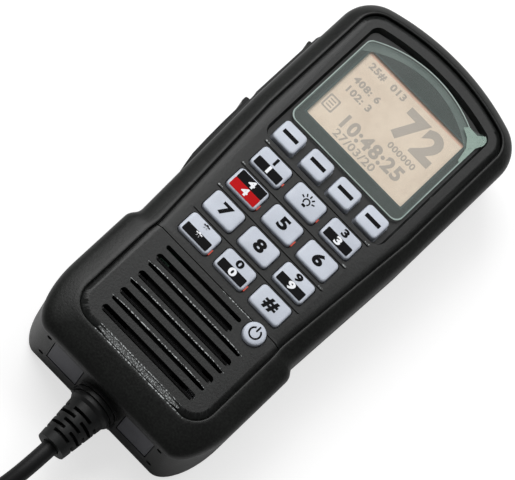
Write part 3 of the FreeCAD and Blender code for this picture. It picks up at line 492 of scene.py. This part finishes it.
POWER_X = 19.04
POWER_Y = -27.1
POWER_PRINT = 36.98
POWER_LEVELS = [(4.7, FLANGE_LOW), (4.7, FLANGE_HIGH), (3.9, FLANGE_HIGH), (3.9, 36.2), (3.82, 36.5),
                (3.62, 36.76), (3.3, 36.9), (2.4, 36.94), (1.0, 36.96)]
power_key = shown("power_key_visual", stack(disc_rings(POWER_X, POWER_Y, POWER_LEVELS)), key_grey,
                  "power_key_body", 50.0)
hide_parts("power_key")


def sign_ring(name, x, y, radius, thick, start, end, z, material, body):
    """A printed open ring between two angles."""
    count = 40
    inner, outer, under = radius - thick / 2, radius + thick / 2, z - PRINT_THICK
    section = ((inner, under), (outer, under), (outer, z), (inner, z))
    rings = []
    for step in range(count + 1):
        turn = math.radians(start + (end - start) * step / count)
        c, s = math.cos(turn), math.sin(turn)
        rings.append([spot(x + reach * c, y + reach * s, height) for reach, height in section])
    shown(name, stack(rings), material, body)


STROKE = 0.62
sign_ring("power_sign_ring", POWER_X, POWER_Y, 1.95, STROKE, 120, 420, POWER_PRINT, ink_black,
          "power_key_body")
badge("power_sign_bar", POWER_X, POWER_Y + 1.7, STROKE, 2.3, 0.25, POWER_PRINT, ink_black, "power_key_body")


def ribbon(name, path, wide, material, body="handset", lift=0.05):
    """A strip along points in millimetres, lift thick; wide is its width, or its width at each point."""
    widths = wide if isinstance(wide, tuple) else (wide,) * len(path)
    rings = []
    for i, (x, y, z) in enumerate(path):
        before, after = path[max(i - 1, 0)], path[min(i + 1, len(path) - 1)]
        along = Vector((after[0] - before[0], after[1] - before[1])).normalized()
        ax, ay = -along.y * widths[i] / 2, along.x * widths[i] / 2
        rings.append([spot(x - ax, y - ay, z - lift), spot(x + ax, y + ay, z - lift),
                      spot(x + ax, y + ay, z), spot(x - ax, y - ay, z)])
    shown(name, stack(rings), material, body)


# Lamp sign on the first row's middle key: a bulb with five rays and its cap
LAMP_Y = 16.6
LAMP_STROKE = 0.5
lamp_print = KEY_TOP + OVERPRINT
body = "key_first_middle_body"
sign_ring("lamp_bulb", 0.0, LAMP_Y, 1.1, LAMP_STROKE, -50, 230, lamp_print, ink_black, body)
badge("lamp_cap", 0.0, LAMP_Y - 1.5, 1.4, 0.9, 0.15, lamp_print, ink_black, body)
for k in range(5):
    turn = math.radians(20 + 35 * k)
    c, s = math.cos(turn), math.sin(turn)
    ray = [(reach * c, LAMP_Y + reach * s, lamp_print) for reach in (1.8, 2.9)]
    ribbon("lamp_ray_%d" % (k + 1), ray, LAMP_STROKE, ink_black, body)

# Painted glow: red strips at the right end of some caps stand for light from behind leaking out
painted_red_glow = moulded("painted_red_glow", paint(206, 52, 34), paint(226, 84, 54), 0.5, 0.3, 0.004)
LEAKS = {("first", "left"): 0.5, ("first", "middle"): 0.6, ("second", "left"): 0.9, ("second", "middle"): 1.0,
         ("fourth", "left"): 1.0, ("fourth", "middle"): 1.0}
LEAK_TOP = 35.9
LEAK_DEEP = 2.8
for (row_name, side_name), share in LEAKS.items():
    x, y = key_place(row_name, side_name)
    leak_x, leak_y = x + 6.65, y - 0.8
    ribbon("leak_%s_%s" % (row_name, side_name),
           [(leak_x, leak_y - 2.2 * share, LEAK_TOP), (leak_x, leak_y, LEAK_TOP)],
           0.5, painted_red_glow, "key_%s_%s_body" % (row_name, side_name), lift=LEAK_DEEP)


# Window
# A clear lens set in its pocket, with a dark border printed behind it, a thin film with a pull tab
# still on it, and the pale amber display lying under it.
border_slate = moulded("border_slate", paint(44, 52, 53), paint(54, 62, 63), 0.45, 9.0, 0.002,
                       Specular_IOR_Level=0.15)
border_pale = moulded("border_pale", paint(70, 80, 77), paint(86, 96, 92), 0.4, 7.0, 0.004,
                      Specular_IOR_Level=0.2)
lens_clear = moulded("lens_clear", paint(225, 232, 228), paint(235, 240, 236), 0.12, 0.5, 0.001,
                     Alpha=0.02, Specular_IOR_Level=0.3)
film_clear = moulded("film_clear", paint(150, 176, 166), paint(170, 192, 184), 0.22, 0.6, 0.003, Alpha=0.05)
# Painted highlight for the film's lit edge
film_edge_highlight = moulded("film_edge_highlight", paint(128, 146, 140), paint(146, 162, 156), 0.3, 0.6, 0.003)
tab_clear = moulded("film_tab", paint(140, 166, 154), paint(160, 184, 172), 0.25, 0.6, 0.003, Alpha=0.5)
display_beige = moulded("display_beige", paint(214, 192, 170), paint(226, 206, 184), 0.5, 3.0, 0.002)
segment_grey = moulded("segment_grey", paint(160, 148, 137), paint(172, 159, 147), 0.5, 0.3, 0.002)
# Painted glow of the backlight, for the strips along the display's top edge
glow_orange = moulded("glow_orange", paint(204, 128, 96), paint(214, 142, 108), 0.5, 0.3, 0.002)
glow_faint = moulded("glow_faint", paint(216, 166, 140), paint(222, 176, 150), 0.5, 0.3, 0.002)
LENS_HALF = 24.6
LENS_LOW = 35.2
LENS_HIGH = 81.5
LENS_CORNER = 3.0
LENS_ARCH = 44.0
LENS_UNDER = 33.3
LENS_TOP = 34.25
LENS_EDGE = 0.08


def lens_ring(inset, z, corner=LENS_CORNER):
    """The lens outline drawn in all round: a straight foot and sides under an arched head."""
    half, low, high = LENS_HALF - inset, LENS_LOW + inset, LENS_HIGH - inset
    corner_x = half - corner
    corner_y = high - LENS_ARCH + math.sqrt((LENS_ARCH - corner) ** 2 - corner_x ** 2)
    lean = math.degrees(math.atan2(corner_y - high + LENS_ARCH, corner_x))
    right = run(0, low, half - corner, low, 6)
    right += arc(half - corner, low + corner, corner, -90, 0, 8)
    right += run(half, low + corner, half, corner_y, 6)
    right += arc(corner_x, corner_y, corner, 0, lean, 8)
    right += arc(0, high - LENS_ARCH, LENS_ARCH, lean, 90, 10) + [(0, high)]
    return both_sides(right, z)


lens_levels = [lens_ring(0.0, LENS_UNDER), lens_ring(0.0, LENS_TOP - LENS_EDGE),
               lens_ring(LENS_EDGE, LENS_TOP, LENS_CORNER - LENS_EDGE)]
lens = shown("window_lens_visual", stack(lens_levels), lens_clear)
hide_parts("window_lens")
softened("screen_film", 0.05, film_clear, segments=1)

# Painted highlight on the film's lit edge, and its pull tab lifted over the corner of the pocket
RIM_WIDE = 0.35
RIM_LOW = 34.3
RIM_HIGH = 34.46
rim_rings = [lens_ring(inset, z) for inset, z in (
    (-RIM_WIDE, RIM_LOW), (-RIM_WIDE, RIM_HIGH), (0.0, RIM_HIGH), (0.0, RIM_LOW))]
shown("film_rim_highlight", stack(rim_rings, capped=False), film_edge_highlight)
TAB = [(17.4, 76.0), (18.6, 77.6), (22.4, 77.4), (24.9, 79.6), (26.0, 79.0), (26.2, 76.4), (25.0, 73.6),
       (25.0, 65.5), (23.8, 66.4), (22.8, 71.4), (20.6, 74.2)]
FILM_THICK = 0.08
bm = bmesh.new()
tab_face = bm.faces.new([bm.verts.new(spot(x, y, 34.5 + 0.02 * max(x - 24.0, 0))) for x, y in TAB])
bmesh.ops.triangulate(bm, faces=[tab_face])
bmesh.ops.solidify(bm, geom=bm.faces[:], thickness=FILM_THICK * MM)
shown("film_tab", bm, tab_clear)

# Printed border: the lens outline with the viewing area left open, and a paler arched head
VIEW_Y = 56.5
VIEW_WIDE = 43.6
VIEW_TALL = 31.9
BORDER_PRINT = 33.12
ARCH_PRINT = 33.24


def flat_between(name, outer, inner, material):
    """A flat printed sheet between two outlines."""
    bm = bmesh.new()
    loops = [[bm.verts.new(point) for point in outline] for outline in (outer, inner)]
    edges = [bm.edges.new((loop[i], loop[(i + 1) % len(loop)])) for loop in loops for i in range(len(loop))]
    bmesh.ops.triangle_fill(bm, use_beauty=True, edges=edges)
    lift = bmesh.ops.extrude_face_region(bm, geom=bm.faces[:])
    lifted = [item for item in lift["geom"] if isinstance(item, bmesh.types.BMVert)]
    bmesh.ops.translate(bm, vec=(0, 0, -FILM_THICK * MM), verts=lifted)
    shown(name, bm, material)


def arch_ring(high, z):
    """The inner edge of the paler head: the foot and sides of the lens under a flatter arch."""
    half, low, corner, arch = 24.3, 35.5, 2.8, 36.0
    lean = math.degrees(math.asin(half / arch))
    right = run(0, low, half - corner, low, 4) + arc(half - corner, low + corner, corner, -90, 0, 5)
    right += run(half, low + corner, half, high - arch + math.sqrt(arch ** 2 - half ** 2), 5)
    right += arc(0, high - arch, arch, 90 - lean, 90, 12) + [(0, high)]
    return both_sides(right, z)


flat_between("lens_border_pale", lens_ring(0.05, ARCH_PRINT), arch_ring(79.2, ARCH_PRINT), border_pale)
flat_between("lens_border", lens_ring(0.1, BORDER_PRINT),
             rounded_ring(0, VIEW_Y, VIEW_WIDE, VIEW_TALL, 0.4, BORDER_PRINT, 2), border_slate)

DISPLAY_UNDER = 31.1
DISPLAY_TOP = 32.1
display_levels = [rounded_ring(0, VIEW_Y, 48.6, 35.6, 0.3, z) for z in (DISPLAY_UNDER, DISPLAY_TOP)]
display = shown("lcd_glass_visual", stack(display_levels), display_beige)
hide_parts("lcd_glass")
PRINT = 32.13
ROWS_SHOWN = (
    ("large", "72", 15.5, 9.6, 62.3, 1.05, 0.05), ("clock", "10:48:25", 7.2, 1.2, 48.0, 1.0, 0.04),
    ("date", "27/03/20", 4.0, -2.0, 43.2, 1.2, 0.02), ("top", "25#  013", 3.5, -10.6, 68.9, 1.15, 0.04),
    ("upper", "408: 6", 3.5, -13.4, 61.6, 1.15, 0.04), ("lower", "102: 3", 3.5, -13.4, 57.2, 1.15, 0.04),
    ("middle", "000000", 3.2, 10.0, 53.8, 1.15, 0.03),
)
BOX_X = -18.4
for name, words, size, x, y, stretch, bold in ROWS_SHOWN:
    lettering("display_" + name, words, size, x, y, PRINT, segment_grey, "handset", stretch, bold)
box_frame = [rounded_ring(BOX_X, 49.2, wide, tall, 0.5, z) for wide, tall, z in (
    (4.6, 5.6, PRINT - PRINT_THICK), (4.6, 5.6, PRINT), (3.4, 4.4, PRINT), (3.4, 4.4, PRINT - PRINT_THICK))]
shown("display_box", stack(box_frame, capped=False), segment_grey)
for k in range(3):
    badge("display_box_line_%d" % (k + 1), BOX_X, 48.0 + 1.2 * k, 2.4, 0.5, 0.1, PRINT, segment_grey,
          "handset")
# Painted glow: an orange strip and a fainter one along the display's top edge stand for the backlight
GLOW_WIDE = 44.4
badge("display_glow", 0, 73.0, GLOW_WIDE, 1.2, 0.1, PRINT, glow_orange, "handset")
badge("display_glow_faint", 0, 71.9, GLOW_WIDE, 1.0, 0.1, PRINT - 0.005, glow_faint, "handset")


# Painted highlights and shade on edges
# Painted highlights: bright specks on the slots' upper edges, the panel's foot and the ribs' ends, each a
# thin strip on its edge, stand for grain catching the light. The sunk bar in each wide slot has painted
# shade.
# Painted highlight materials: light specks scattered on near-black
edge_gleam, gleam_shader, gleam_place = blank("edge_gleam", Roughness=0.35, Specular_IOR_Level=0.4)
highlight_specks = gleam_place.noise(0.55, 3.0).between(0.47, 0.6)
highlight_specks.mix(paint(30, 32, 31), paint(168, 172, 172)).into(gleam_shader, "Base Color")
foot_gleam, foot_shader, foot_place = blank("foot_gleam", Roughness=0.4, Specular_IOR_Level=0.4)
foot_highlight_specks = foot_place.noise(0.5, 3.0).between(0.5, 0.64)
foot_highlight_specks.mix(paint(32, 34, 33), paint(150, 154, 154)).into(foot_shader, "Base Color")
GRILLE_FIRST = -26.6
GRILLE_PITCH = 8.2
BAR_LEFT = -19.6
BAR_RIGHT = 20.0
BAR_RIGHT_SHORT = 12.4
BAR_DROP = 5.5
BAR_TOP = 34.33
BAR_STRIP = 0.62
PANEL_STRIP = 35.34
SLOT_TOPS = [GRILLE_FIRST - GRILLE_PITCH * k for k in range(4)]
# Painted shade: a near-black strip lies on the sunk bar of each wide slot
bar_painted_shade = moulded("bar_painted_shade", paint(4, 4, 5), paint(9, 9, 10), 0.7, 0.3, 0.01, Specular_IOR_Level=0.1)
for k, top in enumerate(SLOT_TOPS):
    right = BAR_RIGHT_SHORT if k == 0 else BAR_RIGHT
    bar = [(x, top - BAR_DROP, BAR_TOP) for x in (BAR_LEFT, right)]
    ribbon("bar_shade_%d" % (k + 1), bar, BAR_STRIP, bar_painted_shade)
STEPS = [j / 12 for j in range(13)]
for k, top in enumerate(SLOT_TOPS[1:]):
    path = [(-20.9 + 42.3 * step, top + 0.12 - 0.5 * (2 * step - 1) ** 8, PANEL_STRIP) for step in STEPS]
    widths = tuple(0.12 + 0.26 * math.sin(math.pi * step) ** 0.5 for step in STEPS)
    ribbon("slot_gleam_%d" % (k + 1), path, widths, edge_gleam)


def level_gleam(name, start, y, z, count, edge, middle, material):
    """A painted highlight strip along the foot, fading at both ends: its first point, place, height and
    widths.
    """
    path = [(start + 4 * j, y, z) for j in range(count)]
    ribbon(name, path, (edge,) + (middle,) * (count - 2) + (edge,), material)


level_gleam("crest_gleam", -17.5, -63.35, 35.0, 11, 0.2, 0.42, edge_gleam)
level_gleam("panel_gleam", -16.5, -60.9, PANEL_STRIP, 10, 0.15, 0.4, edge_gleam)
level_gleam("foot_gleam", -16.5, -62.0, 35.05, 10, 0.6, 1.7, foot_gleam)
ribbon("seam_gleam", [(2.0 + 3 * j, -24.4, 35.36) for j in range(6)], (0.1, 0.3, 0.4, 0.4, 0.3, 0.1),
       edge_gleam)
RIB_TOP = 35.79
RIB_FIRST = 22.2
for k in range(3):
    for side in (-1, 1):
        rib = [(side * reach, RIB_FIRST - KEY_STEP_ALONG * k, RIB_TOP) for reach in (22.0, 23.8)]
        ribbon("rib_gleam_%d_%d" % (k + 1, side + 1), rib, (0.2, 0.55), edge_gleam)


# Side controls
# The talk lever, on a pin, and the side key above it are black rubber pads over plastic. Both sit in
# one bezel let into the left wall.
side_rubber = moulded("side_rubber", paint(16, 16, 17), paint(26, 26, 27), 0.55, 0.3, 0.03,
                      Specular_IOR_Level=0.25)
softened("side_bezel", 0.25, panel_black)
softened("ptt_lever", 0.3, side_rubber, "ptt_lever_body")
softened("side_key", 0.3, side_rubber, "side_key_body")


# Cable end
# A ringed rubber gland with two ears and a slotted, tapered rubber boot keep the cord from kinking where
# it leaves. Two grey plates are let into the foot beside them.
boot_rubber = moulded("boot_rubber", paint(14, 15, 15), paint(24, 25, 25), 0.5, 0.3, 0.03,
                      Specular_IOR_Level=0.25)
end_grey = moulded("end_grey", paint(72, 73, 77), paint(86, 86, 91), 0.5, 0.3, 0.03, Specular_IOR_Level=0.25)
softened("cable_gland", 0.2, boot_rubber)
softened("cable_boot", 0.2, boot_rubber)
softened("end_plates", 0.2, end_grey)


# Screws, insert and hidden parts
# Zinc plated screws and a brass insert in the back; inside, boards, domes, speaker, microphone, gaskets
# and mats. They keep the shape they have and only take a finish.
zinc = moulded("zinc_steel", paint(140, 142, 146), paint(172, 174, 178), 0.35, 0.3, 0.006, Metallic=1.0)
brass = moulded("brass_insert", paint(176, 140, 72), paint(204, 170, 98), 0.32, 0.3, 0.006, Metallic=1.0)
spring_steel = moulded("spring_steel", paint(186, 188, 192), paint(210, 212, 216), 0.28, 0.3, 0.004,
                       Metallic=1.0)
ferrite = moulded("ferrite", paint(52, 53, 56), paint(70, 71, 74), 0.6, 0.4, 0.02)
board_green = moulded("board_green", paint(26, 78, 54), paint(36, 96, 66), 0.4, 0.6, 0.01)
chip_black = moulded("chip_black", paint(24, 24, 26), paint(38, 38, 40), 0.5, 0.3, 0.01)
cone_paper = moulded("cone_paper", paint(34, 32, 31), paint(48, 46, 44), 0.8, 0.2, 0.04)
mesh_cloth = moulded("mesh_cloth", paint(10, 10, 11), paint(18, 18, 19), 0.8, 0.2, 0.05)
white_plastic = moulded("white_plastic", paint(216, 216, 212), paint(230, 230, 226), 0.5, 0.3, 0.01)
FINISHES = {
    "housing_screws": zinc, "hanger_insert": brass, "snap_domes": spring_steel, "speaker_frame": zinc,
    "speaker_magnet": ferrite, "speaker_cone": cone_paper, "speaker_mesh": mesh_cloth,
    "main_board": board_green, "switch_board": board_green, "board_chips": chip_black,
    "ptt_switch": chip_black, "side_switch": chip_black, "mic_capsule": spring_steel,
    "mic_boot": boot_rubber, "ptt_pin": zinc, "lcd_frame": white_plastic, "backlight": white_plastic,
    "key_mat": key_grey, "shell_gasket": boot_rubber, "lens_gasket": boot_rubber,
    "side_membrane": side_rubber,
}
for node, material in FINISHES.items():
    nodes[node].data.materials.clear()
    nodes[node].data.materials.append(material)


# Floor and light
# A pale floor that looks white to the camera and keeps its shadow, a large soft source on the left of
# the handset, a weaker one beyond its head, and dim light from all round.
FLOOR_GREY = 0.86
FLOOR_GLOW = 1.3
GLOW_SHARE = 0.5
FLOOR_HALF = 3.0
floor_material, floor_shader, floor_place = blank("floor_white", Roughness=0.9)
floor_shader.inputs["Base Color"].default_value = (FLOOR_GREY, FLOOR_GREY, FLOOR_GREY, 1.0)
tree = floor_material.node_tree
glow = floor_place.node("ShaderNodeEmission", None, Strength=FLOOR_GLOW)
camera_ray = floor_place.node("ShaderNodeLightPath")
surface = floor_place.node("ShaderNodeMixShader", None, at0=camera_ray * GLOW_SHARE,
                           at1=Shade(tree, floor_shader.outputs[0]), at2=glow)
surface.into(tree.nodes["Material Output"], "Surface")
bm = bmesh.new()
bmesh.ops.create_grid(bm, x_segments=2, y_segments=2, size=FLOOR_HALF)
floor_mesh = bpy.data.meshes.new("floor")
bm.to_mesh(floor_mesh)
bm.free()
floor_mesh.materials.append(floor_material)
floor = bpy.data.objects.new("floor", floor_mesh)
floor.location.z = -0.0002
bpy.context.scene.collection.objects.link(floor)

world = bpy.data.worlds.new("world")
bpy.context.scene.world = world
world.use_nodes = True
background = world.node_tree.nodes["Background"]
background.inputs["Color"].default_value = (1.0, 1.0, 1.0, 1.0)
FILL = 0.25
world_ray = Shade(world.node_tree, None).node("ShaderNodeLightPath")
(world_ray * (1.0 - FILL) + FILL).into(background, "Strength")


HANDSET_MIDDLE = Vector((0, 0, 0.03))


def soft_light(name, place, size, power):
    """A square area lamp aimed at the handset; place and size in metres, power in watts."""
    data = bpy.data.lights.new(name, "AREA")
    data.size = size
    data.energy = power
    light = bpy.data.objects.new(name, data)
    light.location = place
    light.rotation_euler = (HANDSET_MIDDLE - Vector(place)).to_track_quat("-Z", "Y").to_euler()
    bpy.context.scene.collection.objects.link(light)


soft_light("key_light", (-0.55, 0.35, 0.88), 0.7, 9.8)
soft_light("top_light", (0.1, 0.6, 0.85), 0.6, 3.0)
bpy.context.scene.view_settings.view_transform = "Standard"
